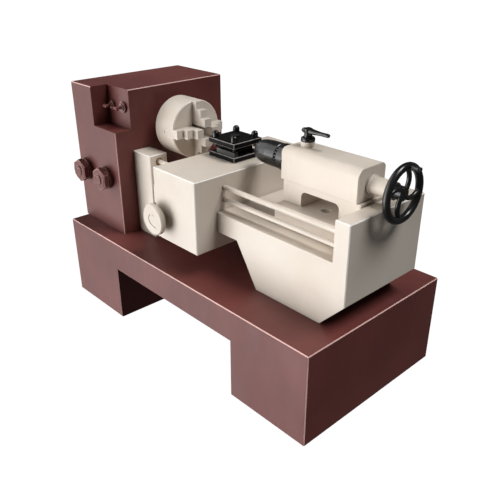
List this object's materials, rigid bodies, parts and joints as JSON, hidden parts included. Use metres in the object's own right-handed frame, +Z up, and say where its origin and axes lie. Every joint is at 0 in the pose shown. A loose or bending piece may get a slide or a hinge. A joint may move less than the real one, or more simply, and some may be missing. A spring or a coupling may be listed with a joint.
{
  "type": "metal lathe",
  "caption": "Small bench lathe on a two-legged cabinet, with a stepped-jaw chuck, a sliding carriage with a square tool post, and a tailstock with a drill chuck and handwheel.",
  "frame": {"origin": "on the floor, at the centre of the four anchor holes in the cabinet's feet", "axes": "+X along the spindle from the headstock to the tailstock, +Y to the back, +Z up"},
  "size_m": [1.0597, 0.505, 0.669],
  "materials": {
    "maroon_paint": "satin",
    "cream_paint": "satin",
    "black_enamel": "gloss",
    "bare_steel": "brushed",
    "bronze": "satin"
  },
  "bodies": {
    "stand": {"base_cabinet": "maroon_paint", "rear_cover_left": "maroon_paint", "rear_cover_right": "maroon_paint", "rear_cover_screws": "bare_steel", "headstock_casing": "maroon_paint", "headstock_end_cover": "maroon_paint", "end_cover_screws": "bare_steel", "front_bearing": "bare_steel", "rear_bearing": "bare_steel", "knob_collars": "maroon_paint", "gearbox_casing": "cream_paint", "feed_bushes": "bronze", "bed_casting": "cream_paint", "tailstock_rail": "cream_paint", "rack": "bare_steel"},
    "spindle": {"spindle": "bare_steel", "spindle_gear": "bare_steel", "chuck_backplate": "cream_paint", "chuck_bolts": "bare_steel", "chuck_body": "cream_paint"},
    "scroll": {"scroll_plate": "bare_steel"},
    "jaw_top": {"jaw_top": "cream_paint"},
    "jaw_back": {"jaw_back": "cream_paint"},
    "jaw_bottom": {"jaw_bottom": "cream_paint"},
    "jaw_front": {"jaw_front": "cream_paint"},
    "countershaft": {"countershaft": "bare_steel", "countershaft_gear": "bare_steel", "drive_pulley": "bare_steel"},
    "speed_knob_left": {"speed_knob_left": "maroon_paint"},
    "speed_knob_right": {"speed_knob_right": "maroon_paint"},
    "feed_lever_left": {"feed_lever_left": "maroon_paint"},
    "feed_lever_right": {"feed_lever_right": "maroon_paint"},
    "lead_screw": {"lead_screw": "cream_paint"},
    "feed_rod": {"feed_rod": "cream_paint"},
    "carriage": {"saddle": "cream_paint", "apron": "cream_paint", "rear_keep": "cream_paint", "lower_keep": "cream_paint", "lead_nut": "bronze"},
    "apron_dial": {"apron_dial": "cream_paint", "apron_pinion": "bare_steel"},
    "cross_slide": {"slide_plate": "black_enamel", "turret_stud": "bare_steel", "turret_nut": "black_enamel"},
    "turret": {"turret_core": "black_enamel", "turret_cap": "black_enamel", "clamp_bolts": "black_enamel", "tool_bit": "black_enamel"},
    "tailstock": {"tailstock_base": "cream_paint", "tailstock_housing": "cream_paint", "rear_boss": "cream_paint"},
    "quill": {"quill": "bare_steel", "drill_chuck_flange": "black_enamel"},
    "drill_chuck_sleeve": {"drill_chuck_sleeve": "black_enamel"},
    "lock_lever": {"lock_lever": "black_enamel"},
    "handwheel": {"quill_screw": "bare_steel", "wheel_spokes": "black_enamel", "wheel_rim": "black_enamel", "handle_stud": "black_enamel"},
    "wheel_handle": {"wheel_handle": "black_enamel"}
  },
  "joints": [
    {"name": "spindle_spin", "type": "hinge", "parent": "stand", "child": "spindle", "pos_m": [-0.4, 0, 0.557], "axis": [1, 0, 0], "continuous": true},
    {"name": "countershaft_spin", "type": "hinge", "parent": "stand", "child": "countershaft", "pos_m": [-0.4, 0, 0.457], "axis": [1, 0, 0], "continuous": true},
    {"name": "lead_screw_spin", "type": "hinge", "parent": "stand", "child": "lead_screw", "pos_m": [0, -0.11, 0.4775], "axis": [1, 0, 0], "continuous": true},
    {"name": "feed_rod_spin", "type": "hinge", "parent": "stand", "child": "feed_rod", "pos_m": [0, -0.11, 0.4445], "axis": [1, 0, 0], "continuous": true},
    {"name": "scroll_turn", "type": "hinge", "parent": "spindle", "child": "scroll", "pos_m": [-0.228, 0, 0.557], "axis": [1, 0, 0], "range_deg": [-240, 840]},
    {"name": "jaw_top_slide", "type": "slide", "parent": "spindle", "child": "jaw_top", "axis": [0, 0, 1], "range_m": [-0.0041, 0.0141]},
    {"name": "jaw_back_slide", "type": "slide", "parent": "spindle", "child": "jaw_back", "axis": [0, 1, 0], "range_m": [-0.0041, 0.0141]},
    {"name": "jaw_bottom_slide", "type": "slide", "parent": "spindle", "child": "jaw_bottom", "axis": [0, 0, -1], "range_m": [-0.0041, 0.0141]},
    {"name": "jaw_front_slide", "type": "slide", "parent": "spindle", "child": "jaw_front", "axis": [0, -1, 0], "range_m": [-0.0041, 0.0141]},
    {"name": "speed_knob_left_turn", "type": "hinge", "parent": "stand", "child": "speed_knob_left", "pos_m": [-0.462, -0.2, 0.4135], "axis": [0, -1, 0], "range_deg": [-60, 60]},
    {"name": "speed_knob_right_turn", "type": "hinge", "parent": "stand", "child": "speed_knob_right", "pos_m": [-0.351, -0.2, 0.4135], "axis": [0, -1, 0], "range_deg": [-60, 60]},
    {"name": "feed_lever_left_turn", "type": "hinge", "parent": "stand", "child": "feed_lever_left", "pos_m": [-0.37, -0.15, 0.615], "axis": [0, -1, 0], "range_deg": [-35, 35]},
    {"name": "feed_lever_right_turn", "type": "hinge", "parent": "stand", "child": "feed_lever_right", "pos_m": [-0.3145, -0.15, 0.617], "axis": [0, -1, 0], "range_deg": [-35, 35]},
    {"name": "carriage_travel", "type": "slide", "parent": "stand", "child": "carriage", "axis": [1, 0, 0], "range_m": [-0.016, 0.008]},
    {"name": "apron_dial_turn", "type": "hinge", "parent": "carriage", "child": "apron_dial", "pos_m": [-0.07, -0.22, 0.378], "axis": [0, -1, 0], "range_deg": [-103, 52]},
    {"name": "cross_slide_travel", "type": "slide", "parent": "carriage", "child": "cross_slide", "axis": [0, 1, 0], "range_m": [-0.02, 0.02]},
    {"name": "turret_turn", "type": "hinge", "parent": "cross_slide", "child": "turret", "pos_m": [-0.021, 0.015, 0.54], "axis": [0, 0, 1], "continuous": true},
    {"name": "tailstock_travel", "type": "slide", "parent": "stand", "child": "tailstock", "axis": [1, 0, 0], "range_m": [-0.006, 0.003]},
    {"name": "quill_travel", "type": "slide", "parent": "tailstock", "child": "quill", "axis": [-1, 0, 0], "range_m": [0, 0.012]},
    {"name": "handwheel_turn", "type": "hinge", "parent": "tailstock", "child": "handwheel", "pos_m": [0.5235, 0, 0.557], "axis": [-1, 0, 0], "range_deg": [-1, 866]},
    {"name": "drill_chuck_sleeve_turn", "type": "hinge", "parent": "quill", "child": "drill_chuck_sleeve", "pos_m": [0.14, 0, 0.557], "axis": [1, 0, 0], "continuous": true},
    {"name": "lock_lever_turn", "type": "hinge", "parent": "tailstock", "child": "lock_lever", "pos_m": [0.252, 0, 0.63], "axis": [0, 0, 1], "range_deg": [-45, 60]},
    {"name": "wheel_handle_spin", "type": "hinge", "parent": "handwheel", "child": "wheel_handle", "pos_m": [0.542, 0.00519, 0.61637], "axis": [1, 0, 0], "continuous": true}
  ],
  "couplings": [
    {"joint": "countershaft_spin", "follows": "spindle_spin", "ratio": -1},
    {"joint": "lead_screw_spin", "follows": "spindle_spin", "ratio": 0.25},
    {"joint": "feed_rod_spin", "follows": "spindle_spin", "ratio": 0.25},
    {"joint": "apron_dial_turn", "follows": "carriage_travel", "rad_per_m": 111.11},
    {"joint": "handwheel_turn", "follows": "quill_travel", "rad_per_m": 1256.6},
    {"joint": "jaw_top_slide", "follows": "scroll_turn", "m_per_rad": 0.00095493},
    {"joint": "jaw_back_slide", "follows": "scroll_turn", "m_per_rad": 0.00095493},
    {"joint": "jaw_bottom_slide", "follows": "scroll_turn", "m_per_rad": 0.00095493},
    {"joint": "jaw_front_slide", "follows": "scroll_turn", "m_per_rad": 0.00095493}
  ]
}
